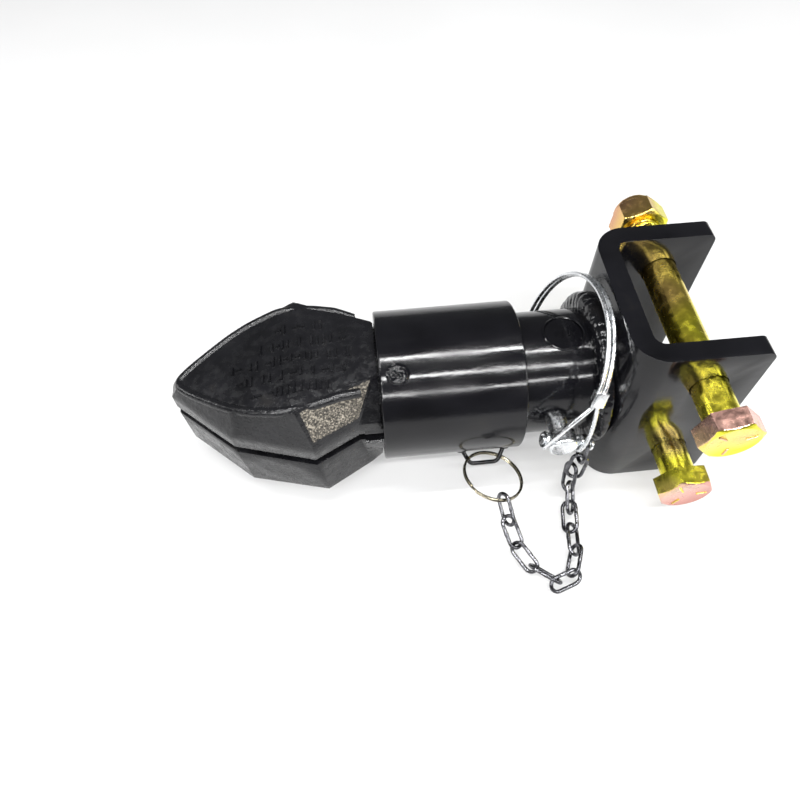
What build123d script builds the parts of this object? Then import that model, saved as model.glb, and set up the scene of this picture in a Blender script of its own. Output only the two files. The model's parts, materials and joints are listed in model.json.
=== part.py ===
from build123d import *
import math
import os

# Sleeve-lock ball coupler with a bolt-on channel bracket. All sizes in millimetres.
# Origin: centre of the ball socket. +X runs to the nose, +Y to the bolt heads, +Z across the jaws.

# --- driving dimensions ---
BALL_R = 25.4                   # 2 inch hitch ball
SOCKET_R = BALL_R + 0.3
WEB_FACE_X = -142.0             # face of the channel web that the tube is welded to

CHANNEL_T = 9.5                 # bent plate, 3/8 inch
CHANNEL_HALF_Y = 39.4
CHANNEL_DEPTH = 57.6            # web face to the free ends of the flanges
CHANNEL_Z = (-43.9, 54.8)
CHANNEL_BEND_R = 5.0
FLANGE_CORNER_R = 4.0
WEB_CORNER_R = 8.0

BOLT_R = 7.94                   # 5/8 inch bolt
BOLT_HOLE_R = 8.35
BOLT_X = WEB_FACE_X - 36.0
BOLT_Z = (33.9, -19.4)
BOLT_SEAT_Y = (57.6, 55.8)      # the bolts are not run home, so the heads stand off
BOLT_LENGTH = 127.0             # 5 inch
HEX_ACROSS_FLATS = 23.8
HEAD_HEIGHT = 9.9
NUT_SEAT_Y = (-57.4, -59.2)     # the nuts are only started on the ends of the bolts
NUT_HEX_HEIGHT = 12.5
NUT_CROWN_HEIGHT = 4.5
NUT_CROWN_R = 10.6
INSERT_R = (8.0, 9.4)
INSERT_HEIGHT = 3.0

TUBE_R = 30.15                  # 2 inch pipe
TUBE_BORE_R = 24.65
TUBE_END_X = WEB_FACE_X + 70.0
WELD_LEG = 9.0

COLLAR_R = 36.5                 # 2 1/2 inch pipe
COLLAR_BORE_R = 31.35
COLLAR_X = (WEB_FACE_X + 38.5, WEB_FACE_X + 105.0)
COLLAR_EDGE_R = 1.0
PLUG_WELD_R = 4.2
PLUG_WELD_X = WEB_FACE_X + 96.6
PLUG_WELD_ANGLE = 28.4          # from +Z towards +Y

JAW_GAP = 5.0                   # split between the closed jaws
LIP_HEIGHT = 11.0               # top of the upright band round the moving jaw
FACE_HEIGHT = 28.0              # level at which the moving jaw's face outline is given
CROWN_HEIGHT = 31.0             # highest point of the moving jaw
FACE_SLOPE = 0.24               # the moving jaw's face falls towards the nose
FIXED_JAW_DEPTH = 29.2
NECK_R = 31.0
MOVING_NECK_R = 29.1            # undersize, so the jaw tips clear of the sleeve as it leaves
NECK_SPLIT_X = WEB_FACE_X + 95.5
HEAD_REAR_X = WEB_FACE_X + 105.6
TAIL_R = 24.5
TAIL_START_X = WEB_FACE_X + 4.0
SHANK_HOLE_R = (15.0, 20.0)     # the ball's neck leaves on the -Y side, through a flared hole

PIVOT_X = WEB_FACE_X + 84.0
PIVOT_Z = 10.0
PIVOT_R = 5.0
PIVOT_HALF = 26.8
PIVOT_BOSS_R = 12.0
TONGUE_HALF = 10.6
SLOT_HALF = 11.0
TAIL_PLUG_R = 9.2               # plug that holds the tail, dropped in through the tube's wall
TAIL_PLUG_X = WEB_FACE_X + 17.5
TAIL_PLUG_Z = (17.0, 29.0)
TAIL_PLUG_SLACK = 0.35
TAIL_PLUG_EDGE_R = 0.5

LOCK_X = WEB_FACE_X + 22.0
LOCK_R = 4.75
LOCK_Y = (21.0, 37.4)           # tip and shoulder
LOCK_HEAD_R = 6.9
LOCK_HEAD_HEIGHT = 7.8
BAIL_TILT = 19.0                # the bail leans from +Z towards the bracket
BAIL_WIRE_R = 1.05
BAIL_JOINT_R = 1.1              # where the strands turn into the arms and the end loop
BAIL_SPREAD = 1.5               # half the spacing of its two strands
BAIL_CENTRE = (3.0, 16.0)       # in the bail's own plane: along Y, and outwards
BAIL_R = 39.5
BAIL_ARC = (18.0, 199.0)
HINGE_Y = 41.2
TRUNNION_R = 2.1
TRUNNION_SPAN = (-15.6, 11.2)   # the long end carries the chain, and ends in a small flange
TRUNNION_FLANGE = (2.9, 1.2)    # radius and thickness
EYE_OFFSET = 9.3
EYE_R = 3.25

STAPLE_WIRE_R = 1.1
STAPLE_FOOT_X = (WEB_FACE_X + 44.0, WEB_FACE_X + 66.0)
STAPLE_CROWN_X = (WEB_FACE_X + 48.0, WEB_FACE_X + 62.0)
STAPLE_ANGLE = -42.0            # below +Y, round the sleeve
STAPLE_CROWN_R = 44.2
RING_R = 15.0
RING_WIRE_R = 0.6               # each of the split ring's two turns
RING_TURN_STEP = 0.9            # half the turns' spacing, in wire radii: they press together
RING_CENTRE = (-89.8, 42.5, -26.3)
RING_TILT = (10.8, -16.3)       # about X, then about Y

LINK_WIRE_R = 0.95
LINK_STRAIGHT = 4.35            # half the length of a link's straight sides
LINK_HALF_WIDTH = 3.55
# The chain's links, from the split ring down to the floor and up to the lock pin's axle:
# each one's centre, and how far it is rolled about the chain's direction, in degrees.
CHAIN_ROUTE = [
    (-93.1, 60.7, -27.0, 65), (-95.0, 70.0, -33.0, 165), (-99.4, 81.6, -37.6, 50),
    (-107.4, 90.8, -37.0, 120), (-116.6, 94.6, -38.6, 40), (-122.8, 85.6, -37.6, 125),
    (-124.8, 75.0, -37.8, 40), (-126.0, 63.2, -38.0, 145), (-128.0, 54.0, -35.8, 55),
    (-128.2, 46.0, -28.8, 25), (-130.5, 44.6, -20.2, 65), (-131.5, 41.9, -8.3, 5),
]

# Outlines of the jaws, one side only, from the nose back: (X, half width).
JAW_PARTING = [(61.0, 3.6), (32.2, 29.0), (-5.0, 40.0), (-26.0, 28.6), (HEAD_REAR_X, 28.6)]
MOVING_FACE = [(50.0, 3.0), (27.0, 22.5), (0.0, 33.0), (-34.0, 17.5), (HEAD_REAR_X, 16.5)]
FIXED_FACE = [(60.0, 3.0), (29.0, 30.6), (-8.5, 40.6), (-31.5, 27.0), (HEAD_REAR_X, 22.5)]


def save(shape, name):
    """Writes one node's solids to its own file."""
    shape.label = name
    export_step(shape, os.path.join("parts", name + ".step"))


def rod_x(radius, x0, x1, y=0.0, z=0.0):
    """Round bar along X."""
    return Pos((x0 + x1) / 2, y, z) * Rot(0, 90, 0) * Cylinder(radius, x1 - x0)


def rod_y(radius, y0, y1, x=0.0, z=0.0):
    """Round bar along Y."""
    return Pos(x, (y0 + y1) / 2, z) * Rot(90, 0, 0) * Cylinder(radius, y1 - y0)


def block(x, y, z):
    """Box between pairs of limits."""
    middle = [(a + b) / 2 for a, b in (x, y, z)]
    return Pos(*middle) * Box(x[1] - x[0], y[1] - y[0], z[1] - z[0])


def bar_between(a, b, radius):
    """Round bar with ball ends from point a to point b."""
    a, b = Vector(*a), Vector(*b)
    plane = Plane(origin=(a + b) / 2, z_dir=b - a)
    bar = plane * Cylinder(radius, (b - a).length)
    return bar + Pos(*tuple(a)) * Sphere(radius) + Pos(*tuple(b)) * Sphere(radius)


def outline(half, level):
    """Closed symmetric wire at a height, from one side's points."""
    points = [(x, w, level) for x, w in half] + [(x, -w, level) for x, w in reversed(half)]
    return Wire.make_polygon([Vector(*p) for p in points], close=True)


def prism(lower, upper, z0, z1):
    """Solid between two outlines at two heights."""
    return Solid.make_loft([outline(lower, z0), outline(upper, z1)], ruled=True)


def stretched(lower, upper, factor):
    """Outline past the upper one, on the same straight sides."""
    return [(a[0] + (b[0] - a[0]) * factor, a[1] + (b[1] - a[1]) * factor) for a, b in zip(lower, upper)]


def softened(shape, edges, radius):
    """Rounds edges one at a time, and leaves any edge that can't take the radius."""
    for size in (radius, radius * 0.5):
        try:
            return fillet(edges, size)
        except Exception:
            continue
    return shape


# --- bracket and its fasteners ---

def channel_bracket():
    outer_r = CHANNEL_BEND_R + CHANNEL_T
    free_x = WEB_FACE_X - CHANNEL_DEPTH
    z0, z1 = CHANNEL_Z
    body = block((free_x, WEB_FACE_X), (-CHANNEL_HALF_Y, CHANNEL_HALF_Y), (z0, z1))
    body = fillet(body.edges().filter_by(Axis.Z).group_by(Axis.X)[-1], outer_r)
    inner_y = CHANNEL_HALF_Y - CHANNEL_T
    core = block((free_x - 20, WEB_FACE_X - CHANNEL_T), (-inner_y, inner_y), (z0 - 1, z1 + 1))
    core = fillet(core.edges().filter_by(Axis.Z).group_by(Axis.X)[-1], CHANNEL_BEND_R)
    body -= core
    free_corners = body.edges().filter_by(Axis.Y).group_by(Axis.X)[0]
    body = fillet(free_corners, FLANGE_CORNER_R)
    reach = CHANNEL_HALF_Y + 5
    for z in BOLT_Z:
        body -= rod_y(BOLT_HOLE_R, -reach, reach, BOLT_X, z)
    return body


def hexagon(height):
    """Hexagonal prism, up from the XY plane, with its top corners turned off."""
    corner_r = HEX_ACROSS_FLATS / math.sqrt(3)
    prism_body = extrude(RegularPolygon(corner_r, 6), height)
    cone = Pos(0, 0, height) * Cone(corner_r * 1.6, HEX_ACROSS_FLATS / 2, corner_r * 0.36)
    cone = Pos(0, 0, -corner_r * 0.18) * cone
    return prism_body & (cone + Cylinder(corner_r * 1.2, height * 2 - corner_r * 0.72))


def hitch_bolt(z, seat_y):
    head = hexagon(HEAD_HEIGHT)
    tip_chamfer = 1.2
    shank = Pos(0, 0, -BOLT_LENGTH / 2) * Cylinder(BOLT_R, BOLT_LENGTH)
    shank = chamfer(shank.edges().sort_by(Axis.Z)[0], tip_chamfer)
    return Pos(BOLT_X, seat_y, z) * Rot(-90, 0, 0) * Rot(0, 0, 15) * (head + shank)


def hitch_nut(z, seat_y):
    washer_face = 0.05
    total = NUT_HEX_HEIGHT + NUT_CROWN_HEIGHT
    nut = hexagon(NUT_HEX_HEIGHT)
    crown = Pos(0, 0, total - NUT_CROWN_HEIGHT / 2 - 0.5) * Cylinder(NUT_CROWN_R, NUT_CROWN_HEIGHT + 1)
    crown = fillet(crown.edges().sort_by(Axis.Z)[-1], 2.0)
    nut += crown
    nut -= Pos(0, 0, total / 2) * Cylinder(BOLT_R + 0.06, total + 2)
    nut -= Pos(0, 0, total - INSERT_HEIGHT / 2 - 1.0) * Cylinder(INSERT_R[1], INSERT_HEIGHT)
    return Pos(BOLT_X, seat_y - washer_face, z) * Rot(90, 0, 0) * Rot(0, 0, 8) * nut


def nut_insert(z, seat_y):
    total = NUT_HEX_HEIGHT + NUT_CROWN_HEIGHT
    ring = Cylinder(INSERT_R[1] - 0.05, INSERT_HEIGHT - 0.1) - Cylinder(INSERT_R[0], INSERT_HEIGHT)
    middle = seat_y - total + INSERT_HEIGHT / 2 + 1.0 - 0.05
    return Pos(BOLT_X, middle, z) * Rot(90, 0, 0) * ring


# --- tube and sleeve ---

def coupler_tube():
    tube = rod_x(TUBE_R, WEB_FACE_X, TUBE_END_X) - rod_x(TUBE_BORE_R, WEB_FACE_X - 1, TUBE_END_X + 1)
    tube -= rod_y(LOCK_R + 0.05, 0, TUBE_R + 5, LOCK_X)
    plug_hole = Pos(TAIL_PLUG_X, 0, TUBE_R) * Cylinder(TAIL_PLUG_R + TAIL_PLUG_SLACK, TUBE_R)
    return tube - plug_hole


def tail_plug():
    z0, z1 = TAIL_PLUG_Z
    plug = Pos(TAIL_PLUG_X, 0, (z0 + z1) / 2) * Cylinder(TAIL_PLUG_R, z1 - z0)
    return fillet(plug.edges().group_by(Axis.Z)[-1], TAIL_PLUG_EDGE_R)


def tube_weld():
    profile = Polyline((0, TUBE_R), (0, TUBE_R + WELD_LEG), (WELD_LEG, TUBE_R), close=True)
    bead = revolve(make_face(profile), Axis.X, 360)
    bulge = 0.28 * WELD_LEG
    middle = (WELD_LEG * 0.42, TUBE_R + WELD_LEG * 0.42)
    crown = revolve(Pos(middle[0], middle[1]) * Circle(bulge), Axis.X, 360)
    return Pos(WEB_FACE_X, 0, 0) * (bead + crown)


def radial(angle, radius):
    """Point round the X axis at an angle from +Y towards +Z."""
    a = math.radians(angle)
    return radius * math.cos(a), radius * math.sin(a)


def plug_stem(radius, r0, r1):
    stem = Pos(PLUG_WELD_X, 0, (r0 + r1) / 2) * Cylinder(radius, r1 - r0)
    return Rot(-PLUG_WELD_ANGLE, 0, 0) * stem


def collar():
    sleeve = rod_x(COLLAR_R, *COLLAR_X) - rod_x(COLLAR_BORE_R, COLLAR_X[0] - 1, COLLAR_X[1] + 1)
    sleeve = fillet(sleeve.edges().filter_by(GeomType.CIRCLE), COLLAR_EDGE_R)
    return sleeve - plug_stem(PLUG_WELD_R, COLLAR_BORE_R - 3, COLLAR_R + 3)


def collar_plug_weld():
    stand_out = 1.3
    button = plug_stem(PLUG_WELD_R, COLLAR_BORE_R + 0.4, COLLAR_R + stand_out)
    return fillet(button.edges().filter_by(GeomType.CIRCLE).group_by(Axis.Z)[-1], 0.9)


def collar_staple():
    sink = 0.35
    foot_r = COLLAR_R + STAPLE_WIRE_R - sink
    corners = []
    for x, r in ((STAPLE_FOOT_X[0], foot_r), (STAPLE_CROWN_X[0], STAPLE_CROWN_R),
                 (STAPLE_CROWN_X[1], STAPLE_CROWN_R), (STAPLE_FOOT_X[1], foot_r)):
        y, z = radial(STAPLE_ANGLE, r)
        corners.append((x, y, z))
    wire = bar_between(corners[0], corners[1], STAPLE_WIRE_R)
    wire += bar_between(corners[1], corners[2], STAPLE_WIRE_R)
    wire += bar_between(corners[2], corners[3], STAPLE_WIRE_R)
    return wire - rod_x(COLLAR_R, *COLLAR_X)


def split_ring():
    """Two flat turns of wire, one pressed on the other."""
    step = RING_WIRE_R * RING_TURN_STEP
    turns = Pos(0, 0, -step) * Torus(RING_R, RING_WIRE_R) + Pos(0, 0, step) * Torus(RING_R, RING_WIRE_R)
    return Pos(*RING_CENTRE) * Rot(0, RING_TILT[1], 0) * Rot(RING_TILT[0], 0, 0) * turns


# --- jaws ---

def socket_cut():
    """Ball seat and the flared hole for the ball's neck."""
    depth = CHANNEL_HALF_Y + 8
    flare = Cone(SHANK_HOLE_R[0], SHANK_HOLE_R[1], depth)
    return Sphere(SOCKET_R) + Pos(0, -depth / 2, 0) * Rot(90, 0, 0) * flare


def pivot_slot():
    """Room in the fixed jaw's neck for the moving jaw's tongue."""
    slack = 0.5
    rear = PIVOT_X - PIVOT_BOSS_R - slack
    floor = PIVOT_Z - PIVOT_BOSS_R - slack
    return block((rear, NECK_SPLIT_X + 1), (-SLOT_HALF, SLOT_HALF), (floor, NECK_R + 5))


def fixed_jaw():
    half_gap = JAW_GAP / 2
    head = prism(FIXED_FACE, JAW_PARTING, -FIXED_JAW_DEPTH, -half_gap)
    head = softened(head, head.edges().group_by(Axis.Z)[0], 2.5)
    neck = rod_x(NECK_R, TUBE_END_X + 0.3, HEAD_REAR_X + 8)
    neck -= block((NECK_SPLIT_X, HEAD_REAR_X + 20), (-50, 50), (-half_gap, 50))
    lean = Polyline((NECK_SPLIT_X - 10.0, NECK_R), (NECK_SPLIT_X, PIVOT_Z + 1.0),
                    (NECK_SPLIT_X + 10, PIVOT_Z + 1.0), (NECK_SPLIT_X + 10, NECK_R + 10),
                    (NECK_SPLIT_X - 14.5, NECK_R + 10), close=True)
    neck -= extrude(Plane.XZ * make_face(lean), 60, both=True)
    tail = rod_x(TAIL_R, TAIL_START_X, TUBE_END_X + 1)
    body = head + neck + tail
    body -= pivot_slot()
    body -= rod_y(PIVOT_R + 0.02, -40, 40, PIVOT_X, PIVOT_Z)
    body -= rod_y(LOCK_R + 0.05, 0, 40, LOCK_X)
    body -= Pos(TAIL_PLUG_X, 0, TAIL_PLUG_Z[0] + TAIL_R) * Cylinder(TAIL_PLUG_R + 0.02, 2 * TAIL_R)
    return body - socket_cut()


def moving_jaw():
    half_gap = JAW_GAP / 2
    top = CROWN_HEIGHT + 2.0
    factor = (top - LIP_HEIGHT) / (FACE_HEIGHT - LIP_HEIGHT)
    lip = prism(JAW_PARTING, JAW_PARTING, half_gap, LIP_HEIGHT)
    crown = prism(JAW_PARTING, stretched(JAW_PARTING, MOVING_FACE, factor), LIP_HEIGHT, top)
    head = lip + crown
    break_x = -2.0
    roof = Polyline((90, CROWN_HEIGHT - FACE_SLOPE * (90 - break_x)), (break_x, CROWN_HEIGHT),
                    (-60, CROWN_HEIGHT), (-60, 60), (90, 60), close=True)
    head -= extrude(Plane.XZ * make_face(roof), 60, both=True)
    neck = rod_x(MOVING_NECK_R, NECK_SPLIT_X + 0.5, HEAD_REAR_X + 8)
    neck -= block((NECK_SPLIT_X - 5, HEAD_REAR_X + 20), (-50, 50), (-50, half_gap))
    boss = rod_y(PIVOT_BOSS_R, -TONGUE_HALF, TONGUE_HALF, PIVOT_X, PIVOT_Z)
    tongue = block((PIVOT_X, NECK_SPLIT_X + 4), (-TONGUE_HALF, TONGUE_HALF), (half_gap, 27.0))
    arm = boss + tongue - rod_y(PIVOT_R + 0.05, -40, 40, PIVOT_X, PIVOT_Z)
    return (head - socket_cut()) + (arm + neck - socket_cut())


# --- lock pin, bail and chain ---

def bail_frame():
    """Plane of the bail: its X is along the row's Y, its Y leans outwards, its Z is the hinge axis."""
    t = math.radians(BAIL_TILT)
    return Plane(origin=(LOCK_X, 0, 0), x_dir=(0, 1, 0), z_dir=(math.cos(t), 0, math.sin(t)))


def lock_pin():
    tip_chamfer = 1.2
    shank = rod_y(LOCK_R, LOCK_Y[0], LOCK_Y[1] + 0.5, LOCK_X)
    shank = chamfer(shank.edges().group_by(Axis.Y)[0], tip_chamfer)
    head = rod_y(LOCK_HEAD_R, LOCK_Y[1], LOCK_Y[1] + LOCK_HEAD_HEIGHT, LOCK_X)
    head = fillet(head.edges().group_by(Axis.Y)[-1], 1.5)
    along_axle = bail_frame() * Pos(HINGE_Y, 0, 0)
    inner, outer = TRUNNION_SPAN
    axle = along_axle * Pos(0, 0, (inner + outer) / 2) * Cylinder(TRUNNION_R, outer - inner)
    flange_r, flange_t = TRUNNION_FLANGE
    flange = along_axle * Pos(0, 0, inner + flange_t / 2) * Cylinder(flange_r, flange_t)
    return shank + head + axle + flange


def in_bail_plane(along, out, side):
    return tuple((bail_frame() * Pos(along, out, side)).position)


def arc_point(angle, side):
    a = math.radians(angle)
    return in_bail_plane(BAIL_CENTRE[0] + BAIL_R * math.cos(a), BAIL_CENTRE[1] + BAIL_R * math.sin(a), side)


def bail():
    start, stop = BAIL_ARC
    wire = None
    for side in (-1, 1):
        section = Pos(BAIL_R, 0) * Circle(BAIL_WIRE_R)
        strand = revolve(Plane.XZ * section, Axis.Z, stop - start)
        strand = Pos(*BAIL_CENTRE, side * BAIL_SPREAD) * Rot(0, 0, start) * strand
        strand = bail_frame() * strand
        eye_top = in_bail_plane(HINGE_Y, EYE_R, side * EYE_OFFSET)
        arm = bar_between(arc_point(start, side * BAIL_SPREAD), eye_top, BAIL_JOINT_R)
        eye = bail_frame() * Pos(HINGE_Y, 0, side * EYE_OFFSET) * Torus(EYE_R, BAIL_WIRE_R)
        half = strand + arm + eye
        wire = half if wire is None else wire + half
    return wire + bar_between(arc_point(stop, -BAIL_SPREAD), arc_point(stop, BAIL_SPREAD), BAIL_JOINT_R)


def bail_ferrule():
    at = BAIL_ARC[0] + 7.0
    a = math.radians(at)
    width, height, length = 2 * (BAIL_SPREAD + BAIL_WIRE_R) + 1.6, 2 * BAIL_WIRE_R + 1.6, 7.0
    band = Pos(BAIL_CENTRE[0] + BAIL_R * math.cos(a), BAIL_CENTRE[1] + BAIL_R * math.sin(a), 0)
    shell = fillet(Box(height, length, width).edges().filter_by(Axis.Y), 1.0)
    shell = bail_frame() * band * Rot(0, 0, at) * shell
    return shell - bail()


def chain_link(index):
    """Long wire link on the route, rolled about it to pass through its neighbours."""
    centre = Vector(*CHAIN_ROUTE[index][:3])
    roll = CHAIN_ROUTE[index][3]
    before = Vector(*CHAIN_ROUTE[max(index - 1, 0)][:3])
    after = Vector(*CHAIN_ROUTE[min(index + 1, len(CHAIN_ROUTE) - 1)][:3])
    tangent = (after - before).normalized()
    side = tangent.cross(Vector(0, 0, 1))
    if abs(tangent.Z) > 0.7:
        side = tangent.cross(Vector(1, 0, 0))
    frame = Plane(origin=centre, x_dir=tangent, z_dir=side.cross(tangent))
    bow = revolve(Plane.XZ * (Pos(LINK_HALF_WIDTH, 0) * Circle(LINK_WIRE_R)), Axis.Z, 180)
    ends = Pos(LINK_STRAIGHT, 0, 0) * Rot(0, 0, -90) * bow + Pos(-LINK_STRAIGHT, 0, 0) * Rot(0, 0, 90) * bow
    sides = [Pos(0, s * LINK_HALF_WIDTH, 0) * Rot(0, 90, 0) * Cylinder(LINK_WIRE_R, 2 * LINK_STRAIGHT)
             for s in (-1, 1)]
    return frame * Rot(roll, 0, 0) * (ends + sides[0] + sides[1])


def main():
    os.makedirs("parts", exist_ok=True)
    save(channel_bracket(), "channel_bracket")
    for name, z, bolt_seat, nut_seat in zip("ab", BOLT_Z, BOLT_SEAT_Y, NUT_SEAT_Y):
        save(hitch_bolt(z, bolt_seat), "hitch_bolt_" + name)
        save(hitch_nut(z, nut_seat), "hitch_nut_" + name)
        save(nut_insert(z, nut_seat), "nut_insert_" + name)
    save(coupler_tube(), "coupler_tube")
    save(tube_weld(), "tube_weld")
    save(collar(), "collar")
    save(collar_plug_weld(), "collar_plug_weld")
    save(collar_staple(), "collar_staple")
    save(split_ring(), "split_ring")
    save(fixed_jaw(), "fixed_jaw")
    save(moving_jaw(), "moving_jaw")
    save(rod_y(PIVOT_R, -PIVOT_HALF, PIVOT_HALF, PIVOT_X, PIVOT_Z), "jaw_pivot_pin")
    save(tail_plug(), "tail_plug")
    save(lock_pin(), "lock_pin")
    save(bail(), "bail")
    save(bail_ferrule(), "bail_ferrule")
    for index in range(len(CHAIN_ROUTE)):
        save(chain_link(index), f"chain_link_{index + 1:02d}")


main()
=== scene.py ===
import json
import math
import random

import bpy
from mathutils import Matrix, Vector, noise

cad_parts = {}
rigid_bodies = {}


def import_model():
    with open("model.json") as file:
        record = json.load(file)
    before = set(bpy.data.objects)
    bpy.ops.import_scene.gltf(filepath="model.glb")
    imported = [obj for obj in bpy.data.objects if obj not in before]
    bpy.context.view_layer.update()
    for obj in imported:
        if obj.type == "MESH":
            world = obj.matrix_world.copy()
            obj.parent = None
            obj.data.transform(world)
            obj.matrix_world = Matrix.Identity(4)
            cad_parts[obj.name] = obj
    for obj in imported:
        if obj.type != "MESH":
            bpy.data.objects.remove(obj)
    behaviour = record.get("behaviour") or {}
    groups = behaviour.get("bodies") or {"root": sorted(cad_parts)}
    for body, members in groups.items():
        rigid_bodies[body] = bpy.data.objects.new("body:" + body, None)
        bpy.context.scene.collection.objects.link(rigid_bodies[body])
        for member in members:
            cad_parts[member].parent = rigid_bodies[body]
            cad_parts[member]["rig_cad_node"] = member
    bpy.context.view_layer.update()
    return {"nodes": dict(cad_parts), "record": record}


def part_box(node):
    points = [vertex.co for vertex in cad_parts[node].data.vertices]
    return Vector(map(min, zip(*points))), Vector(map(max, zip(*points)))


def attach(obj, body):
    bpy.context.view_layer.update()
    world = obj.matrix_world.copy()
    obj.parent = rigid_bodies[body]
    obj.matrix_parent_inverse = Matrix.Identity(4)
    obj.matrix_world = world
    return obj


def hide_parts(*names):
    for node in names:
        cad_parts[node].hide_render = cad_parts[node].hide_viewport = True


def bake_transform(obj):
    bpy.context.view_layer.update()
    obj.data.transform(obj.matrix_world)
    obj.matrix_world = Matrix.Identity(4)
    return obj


# Looks of the ball coupler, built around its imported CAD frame, in that frame's axes.

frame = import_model()
NODES = frame["nodes"]
MM = 0.001

# --- places read from the frame, in metres ---
WEB_FACE_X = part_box("coupler_tube")[0].x
TUBE_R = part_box("coupler_tube")[1].z
FLOOR_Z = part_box("channel_bracket")[0].z
PIN_X = WEB_FACE_X + 22 * MM
HINGE_Y = 41.2 * MM

# --- sizes of the detailed pieces, in millimetres ---
TURNED_STEPS = 96
HEX_FLATS = 23.8
HEAD_HEIGHT = 9.9
FACE_R = HEX_FLATS / 2 * 0.955  # circle that the 30 degree chamfer leaves on a hexagon
SHANK_R = 7.94                  # 5/8 inch
HEAD_TURNS = {"hitch_bolt_a": 15, "hitch_bolt_b": 35}
NUT_TURN = 8
NUT_CROWN_HEIGHT = 4.5
NUT_CROWN_R = 10.6
NUT_DOME = 3.2
THREAD_PITCH = 2.31             # 5/8-11
THREAD_DEPTH = 1.25
THREAD_LENGTH = 38.0
RIM_END_X = -29.0 * MM          # the tube's end comes close behind this when the jaw opens
RIM_WIRE = 2.3
FACE_BREAK_X = -2.0             # the moving jaw's face is flat behind this and slopes in front of it
FACE_CROWN = 31.0
FACE_SLOPE = 0.24
WELD_LEG = 7.6
WELD_REACH = 8.4                # the collar stops short of this when it is slid back
WIRE_STAPLE = 1.1
STAPLE_CROWN = 44.2
WIRE_RING = 0.6
RING_R = 15.0
RING_CENTRE = (-89.8, 42.5, -26.3)
RING_TILT = (10.8, -16.3)       # about X, then about Y
STAPLE_ANGLE = -42.0
WIRE_BAIL = 1.05
BAIL_TILT = 19.0
BAIL_CENTRE = (3.0, 16.0)
BAIL_R = 39.5
BAIL_ARC = (18.0, 199.0)
BAIL_SPREAD = 1.35
EYE_OFFSET = 9.3
EYE_R = 3.25
LINK_WIRE = 0.95
LINK_STRAIGHT = 4.35
LINK_HALF_WIDTH = 3.55
# Centre of each chain link and its roll about the chain, as in the CAD model.
CHAIN_ROUTE = [
    (-93.1, 60.7, -27.0, 65), (-95.0, 70.0, -33.0, 165), (-99.4, 81.6, -37.6, 50),
    (-107.4, 90.8, -37.0, 120), (-116.6, 94.6, -38.6, 40), (-122.8, 85.6, -37.6, 125),
    (-124.8, 75.0, -37.8, 40), (-126.0, 63.2, -38.0, 145), (-128.0, 54.0, -35.8, 55),
    (-128.2, 46.0, -28.8, 25), (-130.5, 44.6, -20.2, 65), (-131.5, 41.9, -8.3, 5),
]


# --- mesh helpers ---

def mesh_object(name, verts, faces, sharp_angle=35.0):
    """A mesh object in the row frame from points in metres, shaded smooth up to an angle."""
    mesh = bpy.data.meshes.new(name)
    mesh.from_pydata([tuple(v) for v in verts], [], faces)
    mesh.validate()
    mesh.polygons.foreach_set("use_smooth", [True] * len(mesh.polygons))
    mesh.set_sharp_from_angle(angle=math.radians(sharp_angle))
    obj = bpy.data.objects.new(name, mesh)
    bpy.context.scene.collection.objects.link(obj)
    return obj


def grid_faces(rows, columns, wrap_columns=True, wrap_rows=False):
    """Quads over a grid of points stored row by row."""
    faces = []
    for i in range(rows if wrap_rows else rows - 1):
        for j in range(columns if wrap_columns else columns - 1):
            a = i * columns + j
            b = i * columns + (j + 1) % columns
            c = ((i + 1) % rows) * columns + (j + 1) % columns
            d = ((i + 1) % rows) * columns + j
            faces.append((a, b, c, d))
    return faces


def joined(name, parts):
    """One object from several (verts, faces) pairs."""
    verts, faces = [], []
    for part_verts, part_faces in parts:
        base = len(verts)
        verts += list(part_verts)
        faces += [tuple(base + i for i in face) for face in part_faces]
    return mesh_object(name, verts, faces)


def tube(points, radius, closed=False, sides=12):
    """Round wire along points in metres, with domed ends where it is open."""
    points = [Vector(p) for p in points]
    count = len(points)
    tangents = []
    for i in range(count):
        before = points[(i - 1) % count] if closed else points[max(i - 1, 0)]
        after = points[(i + 1) % count] if closed else points[min(i + 1, count - 1)]
        tangents.append((after - before).normalized())
    normal = tangents[0].orthogonal().normalized()
    rings = []
    for point, tangent in zip(points, tangents):
        normal = (normal - tangent * normal.dot(tangent)).normalized()
        rings.append((point, normal.copy(), tangent.cross(normal)))
    if closed:
        # the frame comes back turned, so the turn is shared out along the wire
        first = rings[0][1]
        last = (normal - tangents[0] * normal.dot(tangents[0])).normalized()
        twist = math.atan2(last.cross(first).dot(tangents[0]), last.dot(first))
    verts = []
    for i, (point, across, up) in enumerate(rings):
        turn = twist * i / count if closed else 0.0
        for j in range(sides):
            a = 2 * math.pi * j / sides + turn
            verts.append(point + (across * math.cos(a) + up * math.sin(a)) * radius)
    faces = grid_faces(count, sides, wrap_rows=closed)
    if not closed:
        for end, sign in ((0, -1), (count - 1, 1)):
            tip = len(verts)
            verts.append(points[end] + tangents[end] * sign * radius * 0.5)
            for j in range(sides):
                a, b = end * sides + j, end * sides + (j + 1) % sides
                faces.append((b, a, tip) if sign < 0 else (a, b, tip))
    return verts, faces


def hermite(p0, t0, p1, t1, steps):
    """Points of a smooth run from p0 to p1 with end tangents t0 and t1, both ends left out."""
    result = []
    for i in range(1, steps):
        u = i / steps
        result.append(p0 * (2 * u**3 - 3 * u**2 + 1) + t0 * (u**3 - 2 * u**2 + u)
                      + p1 * (3 * u**2 - 2 * u**3) + t1 * (u**3 - u**2))
    return result


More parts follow.
